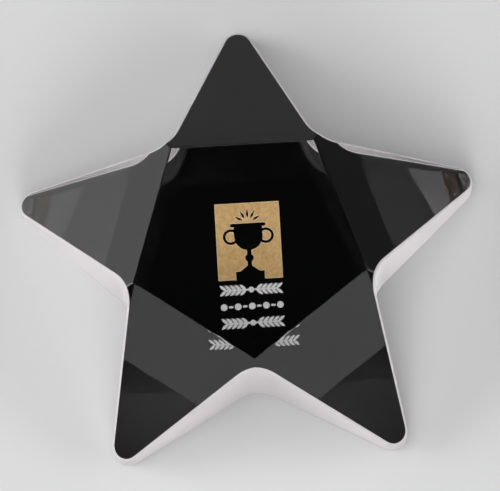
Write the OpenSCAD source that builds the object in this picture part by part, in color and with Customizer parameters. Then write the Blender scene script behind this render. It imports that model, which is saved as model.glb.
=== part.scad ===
// Five-pointed star award in optical crystal.
// The star lies on its flat back, on z = 0, with its centre at the origin and one point along +Y.
// The front is a flat pentagon, and from each of its edges one ground facet slopes down to a point.
// The artwork is etched into the back, colour filled, and read from the front through the crystal.
// Lengths are in millimetres and angles in degrees.

/* [Star] */
// Centre to a point, measured before the point is rounded
point_r = 58; // [48:0.5:75]
// Centre to an inner corner, measured before the corner is rounded
inner_r = 27.8; // [23:0.1:35]
// Radius that each point is rounded to
point_round = 3.4; // [1.5:0.1:4.5]
// Radius that each inner corner is rounded to
inner_round = 8; // [3:0.1:10]
// Thickness of the crystal at its flat front
thickness = 26.6; // [20:0.1:34]

/* [Facets] */
// Centre to an edge of the flat front
face_apothem = 21.7; // [18:0.1:26.5]
// Height of the side wall that is left at a rounded point
point_wall = 5.6; // [3:0.1:9]

/* [Etching] */
// Depth of the etching in the back
etch_depth = 0.4; // [0.25:0.05:0.8]
// How far the colour fill stays below the back, so that it isn't scratched
fill_recess = 0.1; // [0.05:0.05:0.15]

/* [Gold panel] */
// Width of the panel
panel_w = 14.4; // [12:0.1:18]
// Height of the panel
panel_h = 17.6; // [14.5:0.1:21.5]
// How far the lower edge of the panel lies below the centre of the star
panel_drop = 5; // [3:0.1:7]

/* [Clear cup in the panel] */
// Gap between a handle and the side of the panel
cup_side_gap = 1.5; // [1:0.1:2.2]
// Gap between the highest ray and the top of the panel
ray_top_gap = 1.3; // [0.8:0.1:1.8]
// Gap between the lip of the cup and the rays above it
ray_gap = 1.2; // [0.8:0.1:1.5]
// Length of a ray
ray_l = 2.2; // [1.6:0.1:2.7]
// Widest width of a ray
ray_w = 0.6; // [0.4:0.05:0.8]
// Where a ray is widest, as a share of its length
ray_belly = 0.4; // [0.25:0.05:0.6]
// Angle between the middle ray and the outermost ones
ray_spread = 60; // [45:1:70]
// Number of rays
ray_count = 5; // [3:2:7]
// Outer radius of a handle
handle_r = 1.8; // [1.4:0.1:2.2]
// Thickness of a handle
handle_w = 0.6; // [0.4:0.05:0.8]
// How far the centre of a handle lies outside the bowl's side
handle_out = 0.7; // [0.4:0.1:1]
// Height of the bowl's straight side, with the lip
bowl_side = 3; // [2.7:0.1:3.4]
// Height of the lip
lip_h = 0.8; // [0.6:0.1:1]
// How far the lip stands out from the bowl on each side
lip_out = 0.8; // [0.5:0.1:1]
// Thickness of the stem
stem_w = 1; // [0.7:0.1:1.3]
// Radius of the knob on the stem
knob_r = 0.95; // [0.8:0.05:1.2]
// Height of the foot, which flares from the stem
foot_h = 1.3; // [0.9:0.1:1.6]
// Width of the foot where it stands on the plinth
foot_w = 4.4; // [3:0.1:5]
// Height of the plinth, which runs into the lower edge of the panel
plinth_h = 1.9; // [1.4:0.1:2.3]
// Width of the plinth
plinth_w = 6.4; // [5:0.1:8]

/* [White rows under the panel] */
// Clear gap between the panel and the first row
panel_gap = 1.1; // [0.7:0.1:1.5]
// Clear gap between one row and the next
row_gap = 1.8; // [1.2:0.1:2.4]
// Overall length of a row
row_l = 14; // [12.5:0.1:17]
// Thickness of a garland's stem
twig_w = 0.4; // [0.25:0.05:0.6]
// Length of a garland's leaf
leaf_l = 1.9; // [1.5:0.05:2.3]
// Width of a garland's leaf
leaf_w = 0.66; // [0.45:0.02:0.8]
// Lean of a leaf away from the stem
leaf_lean = 40; // [30:1:50]
// Pairs of leaves on each side of a garland's middle
leaf_pairs = 5; // [3:1:6]
// Diameter of the berry in a garland's middle
berry_d = 1.3; // [1:0.1:1.6]
// Diameter of a bead
bead_d = 1.5; // [1.2:0.1:1.8]
// Number of beads in the middle row
bead_count = 5; // [3:1:5]
// Thickness of the bars between the beads
bar_w = 0.5; // [0.4:0.05:0.6]
// Gap between a bead and a bar
bar_gap = 0.3; // [0.2:0.05:0.4]

/* [Hidden] */
$fn = 96;

POINTS = 5;
HALF = 180 / POINTS;
// How far a cut runs past what it cuts
EPS = 1;
// How far a circle that rounds the outline bites into the straight sides, so that they meet cleanly
BITE = 0.002;

// The side of a point leans from the point's own centre line by point_half. point_centre and
// inner_centre are how far out the circles lie that round a point and an inner corner.
point_half = atan2(inner_r * sin(HALF), point_r - inner_r * cos(HALF));
point_centre = point_r - point_round / sin(point_half);
inner_centre = inner_r + inner_round / sin(point_half + HALF);
point_end = point_centre + point_round;

// A facet drops from the flat front to the wall at the rounded point.
facet_angle = atan2(thickness - point_wall, point_end - face_apothem);

// Heights in the cup, up from the lower edge of the panel, and its widths
cup_h = panel_h - ray_top_gap - ray_l - ray_gap;
handle_x = panel_w / 2 - cup_side_gap - handle_r;
bowl_r = handle_x - handle_out;
bowl_y = cup_h - bowl_side;
lip_w = 2 * (bowl_r + lip_out);
foot_top = plinth_h + foot_h;

// A garland is as high as its leaves, and the rows stand one under the other.
garland_h = 2 * leaf_l * sin(leaf_lean);
leaf_reach = leaf_l * cos(leaf_lean);
garland_y = panel_drop + panel_gap + garland_h / 2;
bead_y = garland_y + garland_h / 2 + row_gap + bead_d / 2;
lower_garland_y = bead_y + bead_d / 2 + row_gap + garland_h / 2;

function polar(r, a) = [r * cos(a), r * sin(a)];
function point_angle(i) = 90 + 2 * HALF * i;

// The straight sides of the point at angle a, and of the inner corner after it. They end where
// the circles of the point and of the corner touch them, so that the circles finish the outline.
function point_outline(a) = [
    polar(point_centre, a) + polar(point_round, a - 90 + point_half),
    polar(point_centre, a) + polar(point_round, a + 90 - point_half),
    polar(inner_centre, a + HALF) + polar(inner_round, a - 90 - point_half),
    polar(inner_centre, a + HALF),
    polar(inner_centre, a + HALF) + polar(inner_round, a + 2 * HALF + 90 + point_half),
];

module star_outline() {
    difference() {
        union() {
            polygon([for (i = [0 : POINTS - 1]) each point_outline(point_angle(i))]);
            for (i = [0 : POINTS - 1])
                translate(polar(point_centre, point_angle(i)))
                    circle(point_round + BITE);
        }
        for (i = [0 : POINTS - 1])
            translate(polar(inner_centre, point_angle(i) + HALF))
                circle(inner_round + BITE);
    }
}

// What is ground away over one point: everything above a plane through an edge of the flat front
module facet_cut() {
    translate([face_apothem, 0, thickness])
        rotate([0, facet_angle, 0])
            translate([0, 0, point_r])
                cube(2 * point_r, center = true);
}

// Diamond, from the origin along +Y and widest nearer its inner end
module ray() {
    polygon([[0, 0], [ray_w / 2, ray_belly * ray_l], [0, ray_l], [-ray_w / 2, ray_belly * ray_l]]);
}

// Pointed leaf along +X from the origin, where two circles overlap
module leaf() {
    r = (leaf_l * leaf_l + leaf_w * leaf_w) / (4 * leaf_w);
    intersection() {
        translate([leaf_l / 2, r - leaf_w / 2])
            circle(r);
        translate([leaf_l / 2, leaf_w / 2 - r])
            circle(r);
    }
}

// Bar along X with round ends, centred on the origin
module round_bar(length, width) {
    square([length - width, width], center = true);
    for (side = [-1, 1])
        translate([side * (length - width) / 2, 0])
            circle(d = width);
}

// Two-handled cup on a plinth, standing on the lower edge of the panel
module cup_outline() {
    translate([-plinth_w / 2, -EPS])
        square([plinth_w, plinth_h + EPS]);
    polygon([
        [-foot_w / 2, plinth_h], [foot_w / 2, plinth_h],
        [stem_w / 2, foot_top], [-stem_w / 2, foot_top],
    ]);
    translate([-stem_w / 2, plinth_h])
        square([stem_w, bowl_y - plinth_h]);
    translate([0, (foot_top + bowl_y - bowl_r) / 2])
        circle(knob_r);
    intersection() {
        translate([0, bowl_y])
            circle(bowl_r);
        translate([-bowl_r, bowl_y - bowl_r])
            square([2 * bowl_r, bowl_r]);
    }
    translate([-bowl_r, bowl_y])
        square([2 * bowl_r, cup_h - lip_h / 2 - bowl_y]);
    translate([0, cup_h - lip_h / 2])
        round_bar(lip_w, lip_h);
    for (side = [-1, 1])
        translate([side * handle_x, bowl_y])
            difference() {
                circle(handle_r);
                circle(handle_r - handle_w);
            }
}

// Rays that fan out above the cup
module ray_fan() {
    for (i = [0 : ray_count - 1])
        translate([0, cup_h])
            rotate(ray_spread * (1 - 2 * i / (ray_count - 1)))
                translate([0, ray_gap])
                    ray();
}

// Gold panel, with the cup and its rays left clear
module panel_outline() {
    translate([0, -panel_drop])
        difference() {
            translate([-panel_w / 2, 0])
                square([panel_w, panel_h]);
            cup_outline();
            ray_fan();
        }
}

// Twig with pairs of leaves that point away from a berry in its middle
module garland_outline() {
    step = (row_l / 2 - leaf_reach) / leaf_pairs;
    round_bar(row_l - leaf_l, twig_w);
    circle(d = berry_d);
    for (side = [-1, 1], i = [1 : leaf_pairs], up = [-1, 1])
        translate([side * step * i, 0])
            rotate(side > 0 ? up * leaf_lean : 180 - up * leaf_lean)
                leaf();
}

// Beads with bars between them
module bead_outline() {
    step = (row_l - bead_d) / (bead_count - 1);
    for (i = [0 : bead_count - 1])
        translate([i * step - (row_l - bead_d) / 2, 0])
            circle(d = bead_d);
    for (i = [1 : bead_count - 1])
        translate([(i - 0.5) * step - (row_l - bead_d) / 2, 0])
            round_bar(step - bead_d - 2 * bar_gap, bar_w);
}

// All of the artwork, as it is etched
module artwork() {
    panel_outline();
    translate([0, -garland_y])
        garland_outline();
    translate([0, -bead_y])
        bead_outline();
    translate([0, -lower_garland_y])
        garland_outline();
}

// Colour fill in its etched recess
module fill(y) {
    translate([0, y, fill_recess])
        linear_extrude(etch_depth - fill_recess)
            children();
}

module crystal_star() {
    color([0.86, 0.9, 0.92, 0.5])
        difference() {
            linear_extrude(thickness)
                star_outline();
            for (i = [0 : POINTS - 1])
                rotate(point_angle(i))
                    facet_cut();
            translate([0, 0, -EPS])
                linear_extrude(etch_depth + EPS)
                    artwork();
        }
}

module gold_panel() {
    color([0.73, 0.6, 0.41])
        fill(0)
            panel_outline();
}

module white_garland_upper() {
    color([0.88, 0.87, 0.88])
        fill(-garland_y)
            garland_outline();
}

module white_bead_row() {
    color([0.88, 0.87, 0.88])
        fill(-bead_y)
            bead_outline();
}

module white_garland_lower() {
    color([0.88, 0.87, 0.88])
        fill(-lower_garland_y)
            garland_outline();
}

crystal_star();
gold_panel();
white_garland_upper();
white_bead_row();
white_garland_lower();
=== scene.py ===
"""Crystal star award: the looks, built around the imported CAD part, in metres.

The crystal is rebuilt from the CAD solid with arrises on its cut edges. Its front, facets and
back are polished glass, and its side walls are ground. The enamel in the etched artwork is
bonded to the glass, so that it is seen through the front and the facets.
"""

import math

import bmesh
import bpy
from mathutils import Matrix, Vector, kdtree
from mathutils import noise as solid_noise


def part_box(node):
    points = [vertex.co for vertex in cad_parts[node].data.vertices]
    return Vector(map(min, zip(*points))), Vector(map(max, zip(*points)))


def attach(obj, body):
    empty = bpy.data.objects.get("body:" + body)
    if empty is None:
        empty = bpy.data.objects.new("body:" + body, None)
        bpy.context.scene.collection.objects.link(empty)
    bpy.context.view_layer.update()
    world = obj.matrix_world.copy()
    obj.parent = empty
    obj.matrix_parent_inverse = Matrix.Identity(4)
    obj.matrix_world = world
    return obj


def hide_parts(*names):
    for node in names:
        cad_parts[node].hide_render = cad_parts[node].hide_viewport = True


MM = 0.001

# The camera looks down at the star from in front of its two lower points. Angles are in degrees.
VIEW_AZIMUTH = 1.35
VIEW_ELEVATION = 76.19
VIEW_ROLL = -4.64
VIEW_DISTANCE = 0.99
VIEW_CENTRE = (0.2 * MM, 5.1 * MM, 0.0)
# Focal length and sensor width, in the millimetres that Blender takes for them
LENS = 316.8
SENSOR = 36.0

# Widths of the arrises: ground ones where a side wall ends, polished ones between the facets
WALL_ARRIS = 0.5 * MM
BACK_ARRIS = 0.35 * MM
FACET_ARRIS = 0.18 * MM
ARRIS_STEPS = 3

# The least angle at which two faces of the CAD mesh meet in a cut edge, the least at which two
# faces of the finished mesh meet in a crease, and the most that a flat face may bend
SHARP = math.radians(15)
CREASE = math.radians(30)
FLAT = math.radians(0.05)

# The Z of a face's normal is under UPRIGHT on a side wall, and over LEVEL on the front, on a facet
# and on the top of a fill.
UPRIGHT = 0.1
LEVEL = 0.8

# Materials of the crystal, by slot. The arrises share the other slots once they are cut.
FRONT, BACK, WALL, ARRIS = range(4)

# The tolerance of heights and cuts, and the distance under which two points are one
EPS = 0.001 * MM
WELD = 0.0001 * MM
# How far the enamel reaches into the glass, so that no air is left between them
BOND = 0.02 * MM
# How far the box of the artwork is widened, so that the edges of its recesses lie inside
ART_MARGIN = 0.1 * MM

# The colour fills: the width of the gold's thin pale rim, a painted highlight along the edge of its
# recess, and each fill's hollow underside with dimples, which is cut into a net of squares
RIM = 0.13 * MM
HOLLOW = 0.05 * MM
HOLLOW_RIM = 0.5 * MM
NET = 0.2 * MM
DIMPLE = 0.008 * MM
DIMPLE_SIZE = 0.9 * MM

FLOOR_SIZE = 6.0
FLOOR_GAP = 0.05 * MM
LIGHT_DISTANCE = 1.2

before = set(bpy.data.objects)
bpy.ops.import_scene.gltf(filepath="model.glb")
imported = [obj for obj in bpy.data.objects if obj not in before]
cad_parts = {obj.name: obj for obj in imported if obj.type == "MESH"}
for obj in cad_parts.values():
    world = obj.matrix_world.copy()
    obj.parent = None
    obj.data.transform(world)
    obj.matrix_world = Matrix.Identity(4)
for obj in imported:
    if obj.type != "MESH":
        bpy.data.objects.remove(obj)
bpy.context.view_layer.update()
STAR_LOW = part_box("crystal_star")[0]
WHITE_NODES = ("white_garland_upper", "white_bead_row", "white_garland_lower")


def art_box():
    """The corners of the box that holds all of the artwork."""
    boxes = [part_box(name) for name in ("gold_panel", *WHITE_NODES)]
    low = Vector(min(b[0][axis] for b in boxes) for axis in range(3))
    high = Vector(max(b[1][axis] for b in boxes) for axis in range(3))
    return low, high


ART_LOW, ART_HIGH = art_box()


def in_art(point):
    """Whether a point is in the flat box that holds the artwork, at the back of the star."""
    beside = [ART_LOW[i] - ART_MARGIN < point[i] < ART_HIGH[i] + ART_MARGIN for i in (0, 1)]
    return all(beside) and point[2] < ART_HIGH[2] + ART_MARGIN


# ---------------------------------------------------------------- materials

IOR = 1.517

# Polished glass: its faint blobs of tint, and the waves that polishing leaves
TINTS = ((0.97, 0.978, 0.982), (0.992, 0.994, 0.99))
TINT_SIZE = 9 * MM
WAVE_SIZE = 12 * MM
WAVE_DEPTH = 0.03 * MM

# How much light from a lamp each kind of face lets through. Hardly any gets through the back,
# so that the floor is dark under the star, and the crystal looks as it does on black.
FRONT_PASS = 0.95
BACK_PASS = 0.002

# Ground glass: its grain, and the faint streaks of the wheel, which run round the walls
GROUND_COLOURS = ((0.87, 0.82, 0.835), (0.98, 0.935, 0.95))
GROUND_ROUGHNESS = (0.52, 0.7)
GROUND_TRANSMISSION = 0.55
GRAIN_SIZE = 0.12 * MM
STREAK_SIZE = 2 * MM
STREAK_SCALE = (0.25, 0.25, 3)
GRIND_DEPTH = 0.02 * MM

# Enamel: the two colours that each is mottled between, and the depth of its grain
GOLD_COLOURS = ((0.55, 0.34, 0.137), (0.72, 0.475, 0.21))
# The gold's paler rim colours: a painted highlight along the edge of its recess, where the recess's
# side walls catch the light
GOLD_PAINTED_HIGHLIGHT_COLOURS = ((0.74, 0.535, 0.295), (0.83, 0.625, 0.385))
WHITE_COLOURS = ((0.84, 0.83, 0.84), (0.95, 0.94, 0.95))
ENAMEL_GRAIN = 0.01 * MM

FLOOR_COLOUR = (0.55, 0.55, 0.555, 1)
FLOOR_ROUGHNESS = 0.8
WORLD_COLOUR = (0.8, 0.84, 0.9, 1)
WORLD_STRENGTH = 0.02


def grey(value):
    """A grey as a colour."""
    return (value, value, value)


def new_material(name):
    """A material with a Principled shader, which is returned with its node tree."""
    mat = bpy.data.materials.new(name)
    mat.use_nodes = True
    tree = mat.node_tree
    shader = tree.nodes["Principled BSDF"]
    return mat, tree, shader


def node(tree, kind, inputs=None, **settings):
    """A node with its settings and inputs set. An input that is a socket is linked."""
    made = tree.nodes.new(kind)
    for key, value in settings.items():
        setattr(made, key, value)
    for key, value in (inputs or {}).items():
        if isinstance(value, bpy.types.NodeSocket):
            tree.links.new(value, made.inputs[key])
        else:
            made.inputs[key].default_value = value
    return made


def object_coords(tree, scale=(1, 1, 1)):
    """Object coordinates in metres, times a scale."""
    coords = node(tree, "ShaderNodeTexCoord")
    inputs = {"Vector": coords.outputs["Object"], "Scale": scale}
    return node(tree, "ShaderNodeMapping", inputs).outputs["Vector"]


def noise(tree, size, vector=None, detail=2.0, roughness=0.5):
    """Noise whose blobs are about size across."""
    inputs = {
        "Vector": vector or object_coords(tree),
        "Scale": 1 / size,
        "Detail": detail,
        "Roughness": roughness,
    }
    return node(tree, "ShaderNodeTexNoise", inputs).outputs["Fac"]


def ramp(tree, factor, colours, spread):
    """Colours that run from the first to the second as factor crosses a half, by spread each way."""
    made = node(tree, "ShaderNodeValToRGB", {"Fac": factor})
    places = (0.5 - spread, 0.5 + spread)
    for element, place, colour in zip(made.color_ramp.elements, places, colours):
        element.position = place
        element.color = (*colour, 1)
    return made.outputs["Color"]


def bump(tree, height, depth):
    """A normal from a height whose full range is depth."""
    return node(tree, "ShaderNodeBump", {"Height": height, "Distance": depth}).outputs["Normal"]


def pass_lamps(tree, shader, share):
    """Lets a share of each lamp's light straight through the glass, which would stop it."""
    output = tree.nodes["Material Output"]
    path = node(tree, "ShaderNodeLightPath")
    clear = node(tree, "ShaderNodeBsdfTransparent", {"Color": (*grey(share), 1)})
    mix = node(tree, "ShaderNodeMixShader", {"Fac": path.outputs["Is Shadow Ray"]})
    tree.links.new(shader.outputs["BSDF"], mix.inputs[1])
    tree.links.new(clear.outputs["BSDF"], mix.inputs[2])
    tree.links.new(mix.outputs["Shader"], output.inputs["Surface"])


def polished_glass(name, share):
    """Optical crystal, hand polished, so that its faces are very slightly wavy and tinted."""
    mat, tree, shader = new_material(name)
    tint = ramp(tree, noise(tree, TINT_SIZE), TINTS, spread=0.2)
    tree.links.new(tint, shader.inputs["Base Color"])
    wave = bump(tree, noise(tree, WAVE_SIZE, detail=1.0), WAVE_DEPTH)
    tree.links.new(wave, shader.inputs["Normal"])
    shader.inputs["Roughness"].default_value = 0.0
    shader.inputs["IOR"].default_value = IOR
    shader.inputs["Transmission Weight"].default_value = 1.0
    pass_lamps(tree, shader, share)
    return mat


def ground_glass(name):
    """Fine-ground glass: white, with the grain and the faint long streaks of the wheel."""
    mat, tree, shader = new_material(name)
    grain = noise(tree, GRAIN_SIZE, detail=3.0)
    streaks = noise(tree, STREAK_SIZE, object_coords(tree, STREAK_SCALE), detail=3.0)
    both = node(tree, "ShaderNodeMath", {0: grain, 1: streaks}, operation="ADD")
    half = node(tree, "ShaderNodeMath", {0: both.outputs[0], 1: 0.5}, operation="MULTIPLY")
    height = half.outputs[0]
    colour = ramp(tree, height, GROUND_COLOURS, spread=0.12)
    tree.links.new(colour, shader.inputs["Base Color"])
    rough = ramp(tree, streaks, [grey(value) for value in GROUND_ROUGHNESS], spread=0.15)
    tree.links.new(rough, shader.inputs["Roughness"])
    tree.links.new(bump(tree, height, GRIND_DEPTH), shader.inputs["Normal"])
    shader.inputs["IOR"].default_value = IOR
    shader.inputs["Transmission Weight"].default_value = GROUND_TRANSMISSION
    return mat


def enamel(name, colours, blob, roughness):
    """Matt enamel, mottled between two colours in blobs, with a grain a third of their size."""
    mat, tree, shader = new_material(name)
    colour = ramp(tree, noise(tree, blob, detail=4.0, roughness=0.65), colours, spread=0.14)
    tree.links.new(colour, shader.inputs["Base Color"])
    tree.links.new(bump(tree, noise(tree, blob / 3), ENAMEL_GRAIN), shader.inputs["Normal"])
    shader.inputs["Roughness"].default_value = roughness
    return mat


GLASS_FRONT = polished_glass("crystal_front", FRONT_PASS)
GLASS_BACK = polished_glass("crystal_back", BACK_PASS)
GROUND = ground_glass("crystal_ground_wall")
GOLD = enamel("gold_enamel", GOLD_COLOURS, blob=0.7 * MM, roughness=0.45)
# Paler gold for the rim: a painted highlight along the recess's edge
GOLD_PAINTED_HIGHLIGHT = enamel("gold_enamel_painted_highlight", GOLD_PAINTED_HIGHLIGHT_COLOURS, blob=0.5 * MM, roughness=0.45)
WHITE = enamel("white_enamel", WHITE_COLOURS, blob=0.4 * MM, roughness=0.5)


# ---------------------------------------------------------------- pieces


def cad_copy(name):
    """The welded mesh of a CAD node as a bmesh, with its flat faces whole."""
    made = bmesh.new()
    made.from_mesh(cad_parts[name].data)
    bmesh.ops.remove_doubles(made, verts=made.verts, dist=WELD)
    bmesh.ops.dissolve_limit(made, angle_limit=FLAT, verts=made.verts, edges=made.edges)
    return made


def add_piece(name, made, materials, node_name):
    """Turns a bmesh into a piece that rides on the star and stands for a CAD node."""
    mesh = bpy.data.meshes.new(name)
    made.to_mesh(mesh)
    made.free()
    for mat in materials:
        mesh.materials.append(mat)
    piece = bpy.data.objects.new(name, mesh)
    bpy.context.scene.collection.objects.link(piece)
    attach(piece, "root")
    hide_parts(node_name)


def arris_width(edge):
    """How wide the arris on an edge is: only the cut edges of the star itself have one."""
    middle = (edge.verts[0].co + edge.verts[1].co) / 2
    if edge.calc_face_angle(0) < SHARP or in_art(middle):
        return 0
    lowest = min(face.normal.z for face in edge.link_faces)
    if lowest > UPRIGHT:
        return FACET_ARRIS
    return BACK_ARRIS if lowest < -UPRIGHT else WALL_ARRIS


def cut_arrises(made, materials):
    """Bevels the cut edges of a bmesh by their own widths. The new faces are in slot ARRIS."""
    widest = max(WALL_ARRIS, BACK_ARRIS, FACET_ARRIS)
    weight = made.edges.layers.float.new("bevel_weight_edge")
    for edge in made.edges:
        edge[weight] = arris_width(edge) / widest
    mesh = bpy.data.meshes.new("uncut")
    made.to_mesh(mesh)
    for mat in materials:
        mesh.materials.append(mat)
    block = bpy.data.objects.new("uncut", mesh)
    bpy.context.scene.collection.objects.link(block)
    bevel = block.modifiers.new("arris", "BEVEL")
    bevel.limit_method = "WEIGHT"
    bevel.offset_type = "OFFSET"
    bevel.width = widest
    bevel.segments = ARRIS_STEPS
    bevel.use_clamp_overlap = False
    bevel.material = ARRIS
    cut = bpy.data.meshes.new_from_object(block.evaluated_get(bpy.context.evaluated_depsgraph_get()))
    made.clear()
    made.from_mesh(cut)
    made.edges.layers.float.remove(made.edges.layers.float["bevel_weight_edge"])
    # Removing the meshes removes the temporary object with them.
    for extra in (mesh, cut):
        bpy.data.meshes.remove(extra)


def build_crystal():
    """The star with arrises on its cut edges: polished faces, ground walls, etched recesses."""
    made = cad_copy("crystal_star")
    for face in made.faces:
        centre = face.calc_center_median()
        upright = abs(face.normal.z) < UPRIGHT
        etched = in_art(centre) and (upright or centre.z > EPS)
        face.material_index = WALL if upright or etched else (BACK if face.normal.z < 0 else FRONT)
    materials = [GLASS_FRONT, GLASS_BACK, GROUND]
    cut_arrises(made, materials + [GROUND])
    for edge in made.edges:
        on_arris = {face.material_index == ARRIS for face in edge.link_faces}
        edge.smooth = len(on_arris) == 1 and edge.calc_face_angle(0) < CREASE
    for face in made.faces:
        face.smooth = True
        if face.material_index == ARRIS:
            face.material_index = WALL if face.normal.z < LEVEL else FRONT
    add_piece("crystal_block", made, materials, "crystal_star")


def undersides(made):
    """The faces of a fill that look down."""
    return [face for face in made.faces if face.normal.z < -LEVEL]


def cut_net(made):
    """Cuts the flat undersides into squares that are NET wide."""
    for axis in (0, 1):
        across = Vector((axis == 0, axis == 1, 0))
        places = [vert.co[axis] for vert in made.verts]
        low, high = min(places), max(places)
        count = round((high - low) / NET)
        for i in range(1, count):
            flat = undersides(made)
            bmesh.ops.bisect_plane(
                made,
                geom=flat + list({edge for face in flat for edge in face.edges}),
                plane_co=across * (low + (high - low) * i / count),
                plane_no=across,
                dist=EPS,
            )


def hollow_undersides(made):
    """Lifts the undersides, more so away from the rim, as enamel dries. They are a little uneven."""
    cut_net(made)
    flat = undersides(made)
    verts = {vert for face in flat for vert in face.verts}
    rim = [v for v in verts if any(face.normal.z > -LEVEL for face in v.link_faces)]
    tree = kdtree.KDTree(len(rim))
    for i, vert in enumerate(rim):
        tree.insert(vert.co, i)
    tree.balance()
    lifts = {}
    for vert in verts:
        share = min(1, tree.find(vert.co)[2] / HOLLOW_RIM)
        dimple = DIMPLE * solid_noise.noise(vert.co / DIMPLE_SIZE)
        lifts[vert] = (HOLLOW * (2 - share) + dimple) * share
    for vert, lift in lifts.items():
        vert.co.z += lift
    for face in flat:
        face.smooth = True


def build_fill(name, materials):
    """Enamel bonded to the bottom of its recess, and a little hollow underneath. Where there is a
    second material, it makes a thin paler rim round the side that shows through the crystal: a
    painted highlight along the edge of the recess."""
    made = cad_copy(name)
    low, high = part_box(name)
    middle = (low.z + high.z) / 2
    top = [v for v in made.verts if v.co.z > middle]
    bmesh.ops.translate(made, verts=top, vec=(0, 0, BOND))
    # The rim inset round the front takes the second material, a painted highlight
    if len(materials) > 1:
        fronts = [face for face in made.faces if face.normal.z > LEVEL]
        rim = bmesh.ops.inset_region(made, faces=fronts, thickness=RIM, use_even_offset=True)
        for face in rim["faces"]:
            face.material_index = 1
    hollow_undersides(made)
    add_piece(name + "_enamel", made, materials, name)


build_crystal()
build_fill("gold_panel", [GOLD, GOLD_PAINTED_HIGHLIGHT])
for white_node in WHITE_NODES:
    build_fill(white_node, [WHITE])


# ---------------------------------------------------------------- camera, floor and light


def direction(azimuth, elevation):
    """The unit vector towards a place round the star. Azimuth 0 is in front of the lower points."""
    a, e = math.radians(azimuth), math.radians(elevation)
    return Vector((math.sin(a) * math.cos(e), -math.cos(a) * math.cos(e), math.sin(e)))


def build_camera():
    """The camera, which looks at VIEW_CENTRE and is rolled about its line of sight."""
    azimuth, roll = math.radians(VIEW_AZIMUTH), math.radians(VIEW_ROLL)
    back = direction(VIEW_AZIMUTH, VIEW_ELEVATION)
    level = Vector((math.cos(azimuth), math.sin(azimuth), 0))
    right = level * math.cos(roll) + back.cross(level) * math.sin(roll)
    data = bpy.data.cameras.new("camera")
    data.lens = LENS
    data.sensor_width = SENSOR
    camera = bpy.data.objects.new("camera", data)
    place = Matrix((right, back.cross(right), back)).transposed().to_4x4()
    place.translation = Vector(VIEW_CENTRE) + back * VIEW_DISTANCE
    camera.matrix_world = place
    bpy.context.scene.collection.objects.link(camera)
    bpy.context.scene.camera = camera


def build_floor():
    """A plain pale matt floor, just clear of the star's back."""
    mesh = bpy.data.meshes.new("floor")
    half = FLOOR_SIZE / 2
    drop = STAR_LOW.z - FLOOR_GAP
    corners = [(-half, -half, drop), (half, -half, drop), (half, half, drop), (-half, half, drop)]
    mesh.from_pydata(corners, [], [(0, 1, 2, 3)])
    mat, _, shader = new_material("pale_floor")
    shader.inputs["Base Color"].default_value = FLOOR_COLOUR
    shader.inputs["Roughness"].default_value = FLOOR_ROUGHNESS
    shader.inputs["Specular IOR Level"].default_value = 0.0
    mesh.materials.append(mat)
    floor = bpy.data.objects.new("floor", mesh)
    bpy.context.scene.collection.objects.link(floor)


def add_softbox(name, azimuth, elevation, size, brightness, mirrored=True):
    """A square soft light that points at the star. Brightness is the radiance of its face.
    One that isn't mirrored lights the scene without showing in the glass."""
    towards = direction(azimuth, elevation)
    data = bpy.data.lights.new(name, "AREA")
    data.shape = "SQUARE"
    data.size = size
    data.energy = brightness * math.pi * size * size
    light = bpy.data.objects.new(name, data)
    light.location = towards * LIGHT_DISTANCE
    light.rotation_mode = "QUATERNION"
    light.rotation_quaternion = towards.to_track_quat("Z", "Y")
    light.visible_camera = False
    light.visible_glossy = mirrored
    light.visible_transmission = mirrored
    bpy.context.scene.collection.objects.link(light)


def build_light():
    """The softboxes and a faint world. Glass passes lamp light by pass_lamps, not as caustics."""
    # Soft lights for the walls and the enamel, which don't show in the glass
    add_softbox("overhead", -40, 70, 1.0, 2.6, mirrored=False)
    add_softbox("front", 0, 22, 0.6, 3.4, mirrored=False)
    add_softbox("left", -72, 16, 0.6, 3.0, mirrored=False)
    add_softbox("right", 72, 16, 0.6, 5.0, mirrored=False)
    # Panels that the facets mirror, and that light the ground walls of the side points from behind
    add_softbox("panel_front", 0, 22, 0.6, 4.5)
    add_softbox("panel_left", -98, 22, 0.6, 8.5)
    add_softbox("panel_right", 98, 22, 0.6, 3.8)
    add_softbox("back_left", -122, 17.6, 0.3, 1.55)
    add_softbox("back_right", 122, 18.2, 0.3, 0.16)
    add_softbox("back_low", 180, 9, 0.3, 0.43)
    add_softbox("back_high", 180, 57, 0.6, 1.3)
    world = bpy.data.worlds.new("world")
    world.use_nodes = True
    background = world.node_tree.nodes["Background"]
    background.inputs["Color"].default_value = WORLD_COLOUR
    background.inputs["Strength"].default_value = WORLD_STRENGTH
    scene = bpy.context.scene
    scene.world = world
    scene.view_settings.view_transform = "Standard"
    scene.cycles.caustics_refractive = False
    scene.cycles.caustics_reflective = False


build_camera()
build_floor()
build_light()
